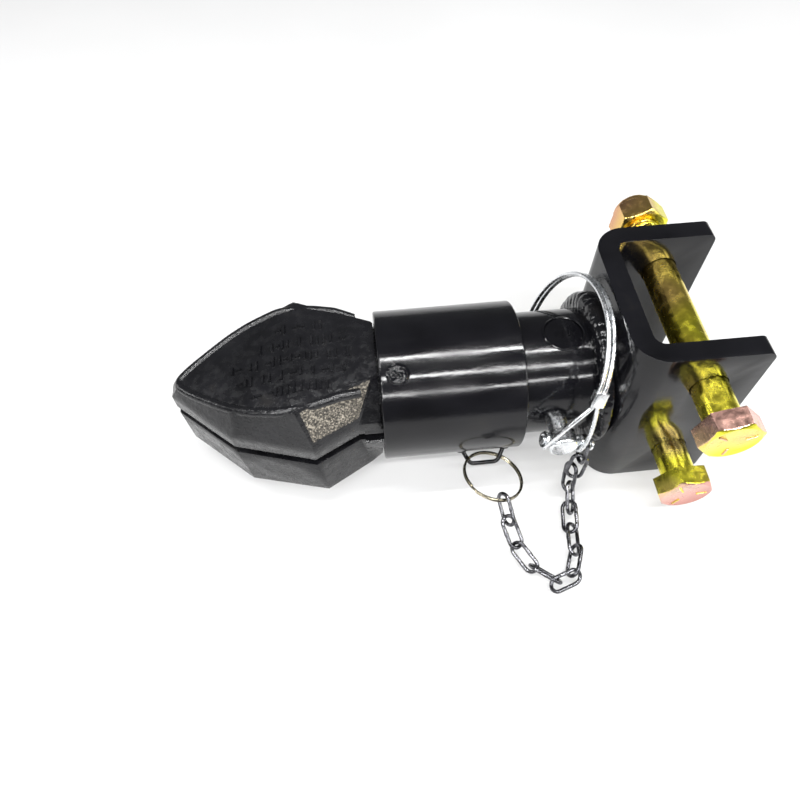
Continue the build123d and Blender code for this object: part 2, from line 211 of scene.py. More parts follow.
def bar(centre, length_axis, width_axis, up_axis, size):
    """Low raised bar with drafted sides: its two long sides and ends slope in."""
    half_length, half_width, height = (s / 2 for s in size)
    verts = []
    for level, shrink in ((-1.0, 1.0), (0.6, 0.92), (1.0, 0.7)):
        for sx, sy in ((-1, -1), (1, -1), (1, 1), (-1, 1)):
            verts.append(centre + length_axis * sx * (half_length - half_width * (1 - shrink))
                         + width_axis * sy * half_width * shrink + up_axis * height * level)
    faces = grid_faces(3, 4)
    faces.append((8, 9, 10, 11))
    faces.append((3, 2, 1, 0))
    return verts, faces


# --- materials ---

def new_material(name):
    material = bpy.data.materials.new(name)
    material.use_nodes = True
    return material, material.node_tree.nodes, material.node_tree.links


def noise_node(nodes, links, scale, detail=4.0, stretch=(1, 1, 1)):
    """Noise in the object's own coordinates, which are metres of the row frame."""
    place = nodes.new("ShaderNodeTexCoord")
    mapping = nodes.new("ShaderNodeMapping")
    mapping.inputs["Scale"].default_value = stretch
    texture = nodes.new("ShaderNodeTexNoise")
    texture.inputs["Scale"].default_value = scale
    texture.inputs["Detail"].default_value = detail
    links.new(place.outputs["Object"], mapping.inputs["Vector"])
    links.new(mapping.outputs["Vector"], texture.inputs["Vector"])
    return texture


def ramp(nodes, links, source, stops):
    node = nodes.new("ShaderNodeValToRGB")
    elements = node.color_ramp.elements
    while len(elements) < len(stops):
        elements.new(0.5)
    for element, (place, colour) in zip(elements, stops):
        element.position = place
        element.color = (*colour, 1.0) if isinstance(colour, tuple) else (colour, colour, colour, 1.0)
    links.new(source.outputs["Fac"], node.inputs["Fac"])
    return node


def bump_chain(nodes, links, shader, layers):
    """Bump layers, each (height source, strength, distance in metres)."""
    previous = None
    for source, strength, distance in layers:
        bump = nodes.new("ShaderNodeBump")
        bump.inputs["Strength"].default_value = strength
        bump.inputs["Distance"].default_value = distance
        links.new(source.outputs["Fac"], bump.inputs["Height"])
        if previous is not None:
            links.new(previous.outputs["Normal"], bump.inputs["Normal"])
        previous = bump
    links.new(previous.outputs["Normal"], shader.inputs["Normal"])


def gloss_black():
    """Thick glossy black paint on rolled and bent steel: faint orange peel, dust and rub marks."""
    material, nodes, links = new_material("gloss_black_paint")
    shader = nodes["Principled BSDF"]
    stops = ((0.3, (0.0015, 0.0015, 0.002)), (0.62, (0.0035, 0.0035, 0.0045)), (0.8, (0.010, 0.009, 0.008)))
    colour = ramp(nodes, links, noise_node(nodes, links, 38.0, 8.0), stops)
    links.new(colour.outputs["Color"], shader.inputs["Base Color"])
    streaks = noise_node(nodes, links, 120.0, 6.0, (0.25, 1, 1))
    rough = ramp(nodes, links, streaks, ((0.35, 0.10), (0.75, 0.24)))
    links.new(rough.outputs["Color"], shader.inputs["Roughness"])
    shader.inputs["Specular IOR Level"].default_value = 0.34
    bump_chain(nodes, links, shader, ((noise_node(nodes, links, 420.0, 2.0, (0.5, 1, 1)), 0.10, 0.0004),
                                      (noise_node(nodes, links, 70.0, 3.0, (0.3, 1, 1)), 0.10, 0.0012)))
    return material


def black_casting():
    """Glossy black paint pooled over a sand casting."""
    material, nodes, links = new_material("black_casting_paint")
    shader = nodes["Principled BSDF"]
    stops = ((0.3, (0.002, 0.002, 0.0025)), (0.6, (0.005, 0.005, 0.006)), (0.78, (0.016, 0.015, 0.014)))
    colour = ramp(nodes, links, noise_node(nodes, links, 55.0, 10.0), stops)
    links.new(colour.outputs["Color"], shader.inputs["Base Color"])
    rough = ramp(nodes, links, noise_node(nodes, links, 260.0, 6.0), ((0.35, 0.16), (0.7, 0.38)))
    links.new(rough.outputs["Color"], shader.inputs["Roughness"])
    shader.inputs["Specular IOR Level"].default_value = 0.40
    bump_chain(nodes, links, shader, ((noise_node(nodes, links, 900.0, 6.0), 0.35, 0.0004),
                                      (noise_node(nodes, links, 210.0, 5.0), 0.40, 0.0009),
                                      (noise_node(nodes, links, 45.0, 3.0), 0.22, 0.0020)))
    return material


def rough_cast():
    """Bare coarse casting skin, where sand grains left pale flecks in thin paint."""
    material, nodes, links = new_material("rough_cast_skin")
    shader = nodes["Principled BSDF"]
    colour = ramp(nodes, links, noise_node(nodes, links, 1100.0, 8.0),
                  ((0.34, (0.010, 0.009, 0.008)), (0.50, (0.07, 0.062, 0.05)), (0.68, (0.30, 0.27, 0.22))))
    links.new(colour.outputs["Color"], shader.inputs["Base Color"])
    shader.inputs["Roughness"].default_value = 0.55
    shader.inputs["Metallic"].default_value = 0.25
    bump_chain(nodes, links, shader, ((noise_node(nodes, links, 1100.0, 8.0), 0.8, 0.0008),
                                      (noise_node(nodes, links, 300.0, 4.0), 0.5, 0.0012)))
    return material


GOLD_STOPS = ((0.30, (0.62, 0.33, 0.20)), (0.42, (0.80, 0.56, 0.15)), (0.52, (0.90, 0.76, 0.08)),
              (0.62, (0.88, 0.82, 0.06)), (0.74, (0.72, 0.42, 0.28)))
# rose stops for the painted reflection tint that bolt() lays on the heads by which way their faces point
PAINTED_REFLECTION_ROSE_STOPS = ((0.28, (0.50, 0.24, 0.20)), (0.45, (0.66, 0.34, 0.29)), (0.60, (0.74, 0.44, 0.36)),
              (0.76, (0.80, 0.62, 0.22)))


def yellow_zinc(name, stops):
    """Yellow chromate over zinc: gold that drifts to rose and lime, with fine drawn lines."""
    material, nodes, links = new_material(name)
    shader = nodes["Principled BSDF"]
    colour = ramp(nodes, links, noise_node(nodes, links, 20.0, 1.5), stops)
    links.new(colour.outputs["Color"], shader.inputs["Base Color"])
    shader.inputs["Metallic"].default_value = 1.0
    rough = ramp(nodes, links, noise_node(nodes, links, 300.0, 6.0), ((0.3, 0.14), (0.75, 0.34)))
    links.new(rough.outputs["Color"], shader.inputs["Roughness"])
    bump_chain(nodes, links, shader, ((noise_node(nodes, links, 900.0, 3.0, (1, 0.12, 1)), 0.12, 0.0003),
                                      (noise_node(nodes, links, 160.0, 4.0), 0.08, 0.0006)))
    return material


def plated(name, low, high, rough_low, rough_high, bump_strength):
    """Zinc or bare steel wire: metal with mottled tone and drawing lines."""
    material, nodes, links = new_material(name)
    shader = nodes["Principled BSDF"]
    colour = ramp(nodes, links, noise_node(nodes, links, 240.0, 6.0), ((0.32, low), (0.66, high)))
    links.new(colour.outputs["Color"], shader.inputs["Base Color"])
    shader.inputs["Metallic"].default_value = 1.0
    rough = ramp(nodes, links, noise_node(nodes, links, 500.0, 5.0), ((0.3, rough_low), (0.7, rough_high)))
    links.new(rough.outputs["Color"], shader.inputs["Roughness"])
    bump_chain(nodes, links, shader, ((noise_node(nodes, links, 1300.0, 4.0), bump_strength, 0.0003),))
    return material


def nylon():
    material, nodes, links = new_material("nylon_insert")
    shader = nodes["Principled BSDF"]
    colour = ramp(nodes, links, noise_node(nodes, links, 200.0, 5.0),
                  ((0.3, (0.66, 0.63, 0.54)), (0.7, (0.84, 0.82, 0.74))))
    links.new(colour.outputs["Color"], shader.inputs["Base Color"])
    shader.inputs["Roughness"].default_value = 0.45
    bump_chain(nodes, links, shader, ((noise_node(nodes, links, 700.0, 3.0), 0.2, 0.0003),))
    return material


def pale_floor():
    material, nodes, links = new_material("pale_floor")
    shader = nodes["Principled BSDF"]
    colour = ramp(nodes, links, noise_node(nodes, links, 6.0, 4.0), ((0.3, 0.33), (0.7, 0.35)))
    links.new(colour.outputs["Color"], shader.inputs["Base Color"])
    shader.inputs["Roughness"].default_value = 0.8
    shader.inputs["Emission Color"].default_value = (1.0, 1.0, 1.0, 1.0)
    shader.inputs["Emission Strength"].default_value = 0.30
    return material


MATERIALS = {
    "gloss_black": gloss_black(),
    "black_casting": black_casting(),
    "rough_cast": rough_cast(),
    "yellow_zinc": yellow_zinc("yellow_zinc_plate", GOLD_STOPS),
    # rose copy of the zinc, used as painted reflection on the bolt heads
    "painted_reflection_rose": yellow_zinc("painted_reflection_rose_plate", PAINTED_REFLECTION_ROSE_STOPS),
    "bright_zinc": plated("bright_zinc_plate", (0.62, 0.64, 0.66), (0.90, 0.91, 0.92), 0.16, 0.34, 0.10),
    "chain_steel": plated("chain_wire", (0.03, 0.03, 0.034), (0.17, 0.17, 0.18), 0.14, 0.34, 0.25),
    "ring_steel": plated("ring_wire", (0.10, 0.09, 0.06), (0.36, 0.33, 0.25), 0.16, 0.32, 0.15),
    "dark_steel": plated("dark_steel", (0.05, 0.05, 0.055), (0.14, 0.14, 0.15), 0.30, 0.50, 0.20),
    "nylon": nylon(),
}


def dress(obj, slot, material=None):
    obj.data.materials.clear()
    obj.data.materials.append(MATERIALS[material or slot])


def place(obj, body, slot, *nodes, material=None):
    """Gives a finished piece its material, its body and the CAD nodes it replaces."""
    dress(obj, slot, material)
    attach(obj, body)
    if nodes:
        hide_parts(*nodes)


# --- CAD nodes that keep their own shape ---

def soften(obj, width, segments=3):
    """Closes the seams between the node's faces and rounds its sharp edges."""
    weld = obj.modifiers.new("close_seams", "WELD")
    weld.merge_threshold = 0.00001
    bevel = obj.modifiers.new("rounded_edges", "BEVEL")
    bevel.width = width
    bevel.segments = segments
    bevel.limit_method = "ANGLE"
    bevel.angle_limit = math.radians(32)
    bevel.harden_normals = False
    obj.data.polygons.foreach_set("use_smooth", [True] * len(obj.data.polygons))
    obj.data.set_sharp_from_angle(angle=math.radians(50))


def dress_cad_nodes():
    slots = {entry["node"]: entry["material_slot"] for entry in frame["record"]["subparts"]}
    for node, slot in slots.items():
        dress(NODES[node], slot)
    for node, width in (("channel_bracket", 1.7), ("fixed_jaw", 2.2), ("moving_jaw", 2.4), ("tail_plug", 0.3),
                        ("lock_pin", 0.25), ("bail_ferrule", 0.2)):
        soften(NODES[node], width * MM)


# --- bolts and nuts ---

def hex_radius(angle):
    """Distance from the axis to a hexagon's side."""
    within = (angle + math.pi / 6) % (math.pi / 3) - math.pi / 6
    return HEX_FLATS / 2 / math.cos(within)


def turned(profile, origin, axis_sign, turn=0.0):
    """Rings about Y: profile gives (height, radius), where radius may be a function of the angle."""
    verts = []
    for height, radius in profile:
        for j in range(TURNED_STEPS):
            a = 2 * math.pi * j / TURNED_STEPS
            r = radius(a) if callable(radius) else radius
            x, z = math.cos(a + turn) * r, math.sin(a + turn) * r
            verts.append(origin + Vector((x, axis_sign * height, z)) * MM)
    faces = grid_faces(len(profile), TURNED_STEPS)
    if axis_sign > 0:
        faces = [tuple(reversed(face)) for face in faces]
    return verts, faces


def capped(rings, centre):
    """The same rings with a fan over the last one, facing +Y."""
    verts, faces = rings
    tip = len(verts)
    last = tip - TURNED_STEPS
    fan = [(tip, last + (j + 1) % TURNED_STEPS, last + j) for j in range(TURNED_STEPS)]
    return verts + [centre], faces + fan


def under_cone(depth):
    """Hexagon cut by a 30 degree cone, at a depth below the face that the cone leaves."""
    limit = FACE_R + depth / math.tan(math.radians(30))
    return lambda angle: min(hex_radius(angle), limit)


def hex_profile(height, chamfer_both):
    """Rings of a hexagon, chamfered on top and, underneath, chamfered too or standing on a washer face."""
    washer = 0.4
    depths = [0.0, 0.25, 0.5, 0.8, 1.1, 1.4, 1.8]
    if chamfer_both:
        profile = [(d, under_cone(d)) for d in depths]
    else:
        profile = [(0.0, FACE_R), (washer, FACE_R), (washer, hex_radius)]
    return profile + [(height - d, under_cone(d)) for d in reversed(depths)]


def thread_radius(y, angle, major, tip):
    """Radius of a 60 degree thread at a height and angle, run out at its start and at the tip."""
    phase = (y / THREAD_PITCH + angle / (2 * math.pi)) % 1.0
    crest = 1 - abs(2 * phase - 1)
    depth = THREAD_DEPTH * (1 - min(1.0, crest * 1.25))
    start = min(1.0, max(0.0, (THREAD_LENGTH - (y - tip)) / (2 * THREAD_PITCH)))
    return min(major - depth * start, major - 1.4 + (y - tip))


def thread(axis, start, tip):
    """Helical thread from start down to the tip of a bolt, with the tip closed."""
    steps, rings_per_turn = 48, 8
    rings = int(THREAD_LENGTH / THREAD_PITCH * rings_per_turn)
    verts = []
    for i in range(rings + 1):
        y = start - (start - tip) * i / rings
        for j in range(steps):
            a = 2 * math.pi * j / steps
            r = thread_radius(y, a, SHANK_R, tip)
            verts.append(axis + Vector((math.cos(a) * r, y, math.sin(a) * r)) * MM)
    centre = len(verts)
    verts.append(axis + Vector((0, tip, 0)) * MM)
    fan = [(rings * steps + j, rings * steps + (j + 1) % steps, centre) for j in range(steps)]
    return verts, grid_faces(rings + 1, steps) + fan


def strength_marks(axis, head_top, turn):
    """Three low bars on a bolt's head, pointing at its middle."""
    marks = []
    for k in range(3):
        a = turn + math.radians(20 + 120 * k)
        along = Vector((math.cos(a), 0, math.sin(a)))
        across = Vector((-math.sin(a), 0, math.cos(a)))
        centre = axis + Vector((0, (head_top - 0.1) * MM, 0)) + along * 7.2 * MM
        marks.append(bar(centre, along, across, Vector((0, 1, 0)), (5.0 * MM, 0.9 * MM, 0.7 * MM)))
    return marks


def bolt(name):
    low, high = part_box(name)
    axis = Vector(((low.x + high.x) / 2, 0, (low.z + high.z) / 2))
    head_top, tip = high.y / MM, low.y / MM
    seat = head_top - HEAD_HEIGHT
    on_seat, on_top = axis + Vector((0, seat * MM, 0)), axis + Vector((0, head_top * MM, 0))
    turn = math.radians(HEAD_TURNS[name])
    head = turned(hex_profile(HEAD_HEIGHT, False), on_seat, 1, turn)
    dish_r, dish = HEX_FLATS / 2 * 0.9, 0.18
    crown = turned([(0.0, FACE_R), (0.0, dish_r), (-dish, dish_r - 0.5), (-dish, 2.0)], on_top, 1)
    crown = capped(crown, on_top - Vector((0, dish * MM, 0)))
    under = turned([(0.0, FACE_R), (0.0, 7.9)], on_seat, -1)
    thread_start = tip + THREAD_LENGTH + 0.5
    shank_verts, shank_faces = turned([(seat, 8.6), (seat - 0.7, SHANK_R), (thread_start, SHANK_R)], axis, 1)
    shank = (shank_verts, [tuple(reversed(face)) for face in shank_faces])
    parts = [head, crown, under, shank, thread(axis, thread_start, tip)]
    piece = joined("detailed_" + name, parts + strength_marks(axis, head_top, turn))
    place(piece, "coupler", "yellow_zinc", name)
    # painted reflection: one head gets the rose tint on its sides and on its neck, the other on its top,
    # chosen by which way each face points
    piece.data.materials.append(MATERIALS["painted_reflection_rose"])
    reflection_tint_on_top = name.endswith("b")
    neck = 26
    for polygon in piece.data.polygons:
        head_part = polygon.center.y > (seat + 0.4) * MM
        upward = polygon.normal.y > 0.7
        neck_part = (seat - neck) * MM < polygon.center.y <= (seat + 0.4) * MM
        if (head_part and upward == reflection_tint_on_top) or (neck_part and not reflection_tint_on_top):
            polygon.material_index = 1


def nut(name):
    """Lock nut: a hexagon chamfered at both ends, and a domed crown round a recessed hole."""
    low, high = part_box(name)
    face = Vector(((low.x + high.x) / 2, high.y, (low.z + high.z) / 2))
    height = (high.y - low.y) / MM
    hex_height = height - NUT_CROWN_HEIGHT
    profile = hex_profile(hex_height, True)
    profile += [(hex_height + 0.02, NUT_CROWN_R + 0.5), (hex_height + 0.5, NUT_CROWN_R)]
    for k in range(9):
        a = math.radians(90 * k / 8)
        r = NUT_CROWN_R - NUT_DOME * 0.55 * (1 - math.cos(a))
        profile.append((height - NUT_DOME + NUT_DOME * math.sin(a), r))
    profile += [(height - 0.2, 8.9), (height - 1.0, 8.6), (height - 1.0, 8.2), (0.3, 8.2), (0.0, 8.6)]
    rings = turned(profile, face, -1, math.radians(NUT_TURN))
    seat = turned([(0.0, 8.6), (0.0, FACE_R)], face, -1)
    place(joined("detailed_" + name, [rings, seat]), "coupler", "yellow_zinc", name)


# --- welds ---

def weld_bead():
    """Stacked-coin fillet bead round the tube, uneven as laid by hand."""
    around, across = 360, 18
    ripples = 46
    verts = []
    for i in range(around):
        phi = 2 * math.pi * i / around
        for j in range(across):
            psi = math.radians(-8 + 106 * j / (across - 1))
            sag = math.sin(math.pi * j / (across - 1))
            chevron = phi * ripples + 1.3 * sag
            coin = 0.42 * abs(math.sin(chevron / 2)) ** 0.6 * sag
            sample = Vector((math.cos(phi) * 3.1, math.sin(phi) * 3.1, j * 0.16))
            lump = 1.5 * noise.noise(sample) * sag + 0.45 * noise.noise(sample * 4.5) * sag
            size = WELD_LEG + coin + lump + 1.0 * sag
            x = WEB_FACE_X / MM - 0.2 + min(max(size * 0.8 * math.cos(psi), 0.0), WELD_REACH)
            r = TUBE_R / MM - 0.25 + max(size * math.sin(psi), 0.0)
            verts.append(Vector((x, r * math.sin(phi), r * math.cos(phi))) * MM)
    piece = mesh_object("laid_weld_bead", verts, grid_faces(around, across, False, True))
    place(piece, "coupler", "gloss_black", "tube_weld")


def spatter():
    """Small drops of weld metal stuck to the tube and the web beside the bead."""
    rng = random.Random(7)
    parts = []
    for _ in range(46):
        phi = rng.uniform(0, 2 * math.pi)
        radius = rng.uniform(0.25, 0.7)
        if rng.random() < 0.6:
            x, r = WEB_FACE_X / MM + rng.uniform(9.5, 14.0), TUBE_R / MM + radius * 0.3
            flat = Vector((0, math.sin(phi), math.cos(phi)))
        else:
            x, r = WEB_FACE_X / MM + radius * 0.3, TUBE_R / MM + rng.uniform(10.5, 13.0)
            flat = Vector((1, 0, 0))
        if abs(r * math.sin(phi)) > 22 and flat.x:
            continue
        centre = Vector((x, r * math.sin(phi), r * math.cos(phi)))
        side = flat.orthogonal().normalized()
        verts = []
        for k in range(4):
            lift = math.radians(90 * k / 4)
            for m in range(8):
                a = 2 * math.pi * m / 8
                out = side * math.cos(a) + flat.cross(side) * math.sin(a)
                offset = out * math.cos(lift) + flat * (math.sin(lift) * 0.8 - 0.35)
                verts.append((centre + offset * radius) * MM)
        verts.append((centre + flat * 0.45 * radius) * MM)
        faces = grid_faces(4, 8) + [(24 + m, 24 + (m + 1) % 8, 32) for m in range(8)]
        parts.append((verts, faces))
    place(joined("weld_spatter", parts), "coupler", "gloss_black")


def plug_weld():
    """Button of weld on the sleeve with the swirl left by the rod."""
    low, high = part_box("collar_plug_weld")
    middle = (low + high) / 2
    outward = Vector((0, middle.y, middle.z)).normalized()
    side = Vector((1, 0, 0))
    across = outward.cross(side)
    sleeve_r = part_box("collar")[1].z / MM
    base_r = 5.6
    verts = []
    rings, steps = 26, 72
    for i in range(rings):
        r = base_r * (1 - i / (rings - 1))
        for j in range(steps):
            a = 2 * math.pi * j / steps
            u, v = r * math.cos(a), r * math.sin(a)
            edge = 1 - (r / base_r) ** 2
            swirl = math.sin(2.0 * a + r * 1.7) * 0.45
            rim = math.exp(-((r - 3.9) / 0.55) ** 2) * 0.55
            rough = noise.noise(Vector((u * 0.55, v * 0.55, 4.2))) * 0.8
            lift = (edge ** 0.6 * 1.15 + (swirl + rough) * min(1, edge * 2) + rim) if edge > 0 else -0.3
            shell = math.sqrt(max(sleeve_r**2 - v * v, 0.0)) - 0.15
            verts.append(side * (middle.x + u * MM) + outward * (shell + lift) * MM + across * v * MM)
    piece = mesh_object("swirled_plug_weld", verts, grid_faces(rings, steps))
    place(piece, "collar", "gloss_black", "collar_plug_weld")


# --- wires ---

def staple():
    """Bent black wire on the sleeve, its feet flattened into their tack welds."""
    low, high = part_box("collar_staple")
    sleeve_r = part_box("collar")[1].z / MM
    a = math.radians(STAPLE_ANGLE)
    radial = Vector((0, math.cos(a), math.sin(a)))
    x0, x1 = low.x / MM + WIRE_STAPLE, high.x / MM - WIRE_STAPLE
    lean, foot_r = 4, sleeve_r - 0.6
    corners = [(x0, foot_r), (x0 + lean, STAPLE_CROWN), (x1 - lean, STAPLE_CROWN), (x1, foot_r)]
    points = [Vector((x, 0, 0)) + radial * r for x, r in corners]
    cut = 2.2
    path = [points[0]]
    for before, corner, after in zip(points, points[1:], points[2:]):
        start = corner + (before - corner).normalized() * cut
        end = corner + (after - corner).normalized() * cut
        path.append(start)
        for k in range(1, 8):
            t = k / 8
            path.append(start * (1 - t) ** 2 + corner * 2 * t * (1 - t) + end * t * t)
        path.append(end)
    path.append(points[3])
    parts = [tube([p * MM for p in path], WIRE_STAPLE * MM)]
    rng = random.Random(3)
    for foot in (points[0], points[3]):
        verts = []
        for i in range(7):
            lift = i / 6
            for j in range(20):
                turn = 2 * math.pi * j / 20
                r = (2.9 - 1.5 * lift) * (1 + 0.10 * rng.uniform(-1, 1))
                verts.append((foot + Vector((1, 0, 0)) * r * 1.2 * math.cos(turn)
                              + radial.cross(Vector((1, 0, 0))) * r * 0.8 * math.sin(turn)
                              + radial * (0.15 + 1.9 * math.sin(lift * math.pi / 2))) * MM)
        parts.append((verts, grid_faces(7, 20)))
    place(joined("bent_staple", parts), "collar", "gloss_black", "collar_staple")


def split_ring():
    """Key-ring coil of two turns that cross once."""
    about_x, about_y = (math.radians(angle) for angle in RING_TILT)
    tilt = Matrix.Rotation(about_y, 4, "Y") @ Matrix.Rotation(about_x, 4, "X")
    steps, turns = 220, 1.97
    path = []
    for i in range(steps + 1):
        travelled = turns * i / steps
        a = 2 * math.pi * travelled + math.radians(40)
        crossing = 0.5 + 0.5 * math.tanh((travelled - 1.0) * 9)
        z = (2 * crossing - 1) * WIRE_RING * 0.95
        local = Vector((RING_R * math.cos(a), RING_R * math.sin(a), z))
        path.append((Vector(RING_CENTRE) + tilt @ local) * MM)
    piece = joined("coiled_split_ring", [tube(path, WIRE_RING * MM, sides=10)])
    place(piece, "split_ring", "ring_steel", "split_ring")


def bail_point(along, out, side):
    """Row-frame point, in metres, from the bail's own plane: along +Y, outwards, and across its hinge."""
    t = math.radians(BAIL_TILT)
    outward = Vector((-math.sin(t), 0, math.cos(t)))
    hinge = Vector((math.cos(t), 0, math.sin(t)))
    return Vector((PIN_X, 0, 0)) + (Vector((0, 1, 0)) * along + outward * out + hinge * side) * MM


def bail_half(sign):
    """Points of one strand in the bail's plane: round its eye, along its arm and round the tube."""
    points = []
    for k in range(34):
        a = math.radians(-322 + 322 * k / 33)
        along, out = HINGE_Y / MM + EYE_R * math.cos(a), EYE_R * math.sin(a)
        points.append(Vector((along, out, sign * EYE_OFFSET)))
    arc = []
    arc_steps = 84
    first, last = BAIL_ARC
    for k in range(arc_steps + 1):
        a = math.radians(first + (last - first) * k / arc_steps)
        along, out = BAIL_CENTRE[0] + BAIL_R * math.cos(a), BAIL_CENTRE[1] + BAIL_R * math.sin(a)
        arc.append(Vector((along, out, sign * BAIL_SPREAD)))
    a = math.radians(first)
    leave = Vector((0, 26.0, 0))
    arrive = Vector((-math.sin(a) * 14, math.cos(a) * 14, 0)) + Vector((0, 0, -sign * 6))
    return points + hermite(points[-1], leave, arc[0], arrive, 18) + arc


def bail():
    """One length of wire: an eye, an arm, round the tube and back, an arm and an eye."""
    going, coming = bail_half(-1), bail_half(1)
    last = math.radians(BAIL_ARC[1])
    end_turn = []
    for k in range(1, 8):
        a = math.pi * k / 8
        reach = BAIL_SPREAD * math.sin(a)
        along, out = going[-1].x - math.sin(last) * reach, going[-1].y + math.cos(last) * reach
        end_turn.append(Vector((along, out, -BAIL_SPREAD * math.cos(a))))
    path = going + end_turn + list(reversed(coming))
    piece = joined("bent_bail", [tube([bail_point(*p) for p in path], WIRE_BAIL * MM, sides=14)])
    place(piece, "bail", "bright_zinc", "bail")


def link_frame(index):
    """Centre, long direction and width direction of a chain link, in millimetres."""
    centre = Vector(CHAIN_ROUTE[index][:3])
    before = Vector(CHAIN_ROUTE[max(index - 1, 0)][:3])
    after = Vector(CHAIN_ROUTE[min(index + 1, len(CHAIN_ROUTE) - 1)][:3])
    tangent = (after - before).normalized()
    reference = Vector((1, 0, 0)) if abs(tangent.z) > 0.7 else Vector((0, 0, 1))
    side = tangent.cross(reference).normalized()
    up = side.cross(tangent)
    width = up.cross(tangent)
    roll = math.radians(CHAIN_ROUTE[index][3])
    return centre, tangent, width * math.cos(roll) + up * math.sin(roll)


def chain_link(index):
    """Wire bent to a long link, with the upset of its butt weld on one side."""
    centre, tangent, width = link_frame(index)
    path = []
    bow_steps, straight_steps = 14, 8
    for end in (1, -1):
        for k in range(bow_steps + 1):
            a = math.radians(-90 + 180 * k / bow_steps)
            path.append(centre + tangent * end * (LINK_STRAIGHT + LINK_HALF_WIDTH * math.cos(a))
                        + width * end * LINK_HALF_WIDTH * math.sin(a))
        for k in range(1, straight_steps):
            t = 1 - 2 * k / straight_steps
            path.append(centre + tangent * end * LINK_STRAIGHT * t + width * end * LINK_HALF_WIDTH)
    verts, faces = tube([p * MM for p in path], LINK_WIRE * MM, closed=True, sides=12)
    weld_point = (centre + width * LINK_HALF_WIDTH) * MM
    upset = 0.16
    swollen = []
    for v in verts:
        offset = v - weld_point
        along = abs(offset.dot(tangent)) / MM
        axis_point = weld_point + tangent * offset.dot(tangent)
        near = math.exp(-(along / 0.8) ** 2) if (v - axis_point).length < 1.5 * LINK_WIRE * MM else 0.0
        swollen.append(axis_point + (v - axis_point) * (1 + upset * near))
    return joined(f"wire_link_{index + 1:02d}", [(swollen, faces)])


def chain():
    """Builds each link along the route, gives it the chain's material and hides the CAD link it replaces;
    each link is baked in place and follows no body.
    """
    half = len(CHAIN_ROUTE) // 2
    for index in range(len(CHAIN_ROUTE)):
        link = chain_link(index)
        dress(link, "chain_steel")
        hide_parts(f"chain_link_{index + 1:02d}")
        if index == 0:
            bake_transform(link)
        elif index < half:
            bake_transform(link)
        else:
            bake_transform(link)


# --- details on the castings ---

def face_height(x):
    """Height of the moving jaw's face, in millimetres."""
    return FACE_CROWN - FACE_SLOPE * max(x - FACE_BREAK_X, 0.0)


def cast_marks():
    """Rows of plain raised bars on the moving jaw's face, as a foundry's marks. They spell nothing."""
    rng = random.Random(21)
    rows = ((-16.0, -12, 12), (-7.0, -22, 20), (1.5, -24, 30), (10.0, -22, 29), (18.5, -14, 20))
    tilt = math.atan(FACE_SLOPE)
    parts = []
    for y, x_start, x_end in rows:
        x = x_start
        while x < x_end:
            upright = rng.random() < 0.75
            size = (rng.uniform(4.0, 5.4), 1.25, 1.9) if upright else (rng.uniform(2.2, 3.2), 1.2, 1.9)
            slope = tilt if x > FACE_BREAK_X else 0.0
            forward = Vector((math.cos(slope), 0, -math.sin(slope)))
            normal = Vector((math.sin(slope), 0, math.cos(slope)))
            centre = Vector((x, y, face_height(x))) * MM
            along = Vector((0, 1, 0)) if upright else forward
            across = forward if upright else Vector((0, -1, 0))
            parts.append(bar(centre, along, across, normal, [s * MM for s in size]))
            x += rng.choice((2.5, 2.9, 3.1, 5.6))
    place(joined("cast_bars", parts), "moving_jaw", "black_casting")


def face_outline():
    """Corners round the moving jaw's top face: the hull of its flat faces, read off its CAD mesh."""
    mesh = NODES["moving_jaw"].data
    points = set()
    for polygon in mesh.polygons:
        if polygon.normal.z > 0.9 and polygon.center.z > 16 * MM:
            points |= {tuple(round(c, 5) for c in mesh.vertices[i].co[:2]) for i in polygon.vertices}
    points = sorted(points)

    def half(run):
        chain = []
        for point in run:
            while len(chain) > 1:
                (ax, ay), (bx, by) = chain[-2:]
                if (bx - ax) * (point[1] - ay) - (by - ay) * (point[0] - ax) > 0:
                    break
                chain.pop()
            chain.append(point)
        return chain[:-1]

    return [Vector((x, y, face_height(x / MM) * MM)) for x, y in half(points) + half(points[::-1])]


def cast_rim():
    """Rounded rim round the moving jaw's face, its corners drawn in; it stops short of the neck's end."""
    loop = face_outline()
    corners = []
    for i, point in enumerate(loop):
        before, after = loop[i - 1], loop[(i + 1) % len(loop)]
        if (point - before).angle(after - point, 0.0) > math.radians(6):
            corners.append(point)
    for _ in range(5):
        cut = []
        for i, point in enumerate(corners):
            after = corners[(i + 1) % len(corners)]
            cut += [point.lerp(after, 0.2), point.lerp(after, 0.8)]
        corners = cut
    centre = sum(corners, Vector()) / len(corners)
    behind = [point.x < RIM_END_X for point in corners]
    first = next(i for i in range(len(corners)) if behind[i - 1] and not behind[i])
    corners = [point for point in corners[first:] + corners[:first] if point.x >= RIM_END_X]
    path = []
    for point in corners:
        inward = (centre - point).normalized() * 1.1 * MM
        sink = max(0.0, 1 - (point.x - RIM_END_X) / (9 * MM)) * 2.6 * MM
        path.append(Vector((point.x + inward.x, point.y + inward.y, point.z - 1.2 * MM - sink)))
    place(joined("cast_rim", [tube(path, RIM_WIRE * MM, sides=18)]), "moving_jaw", "black_casting")


def facet_point(u, v, lift):
    """Point on the facet beside the neck: u from its front corner back, v up it; lift stands it proud."""
    low_front, low_back = Vector((-5.0, 40.0, 11.0)), Vector((-26.0, 28.6, 11.0))
    high_front, high_back = Vector((0.0, 33.0, 28.0)), Vector((-34.0, 17.5, 28.0))
    low = low_front.lerp(low_back, u)
    high = high_front.lerp(high_back, u)
    point = low + (high - low) * v
    normal = (low_front - low_back).cross(high - low).normalized()
    if normal.y < 0:
        normal = -normal
    return (point + normal * lift) * MM


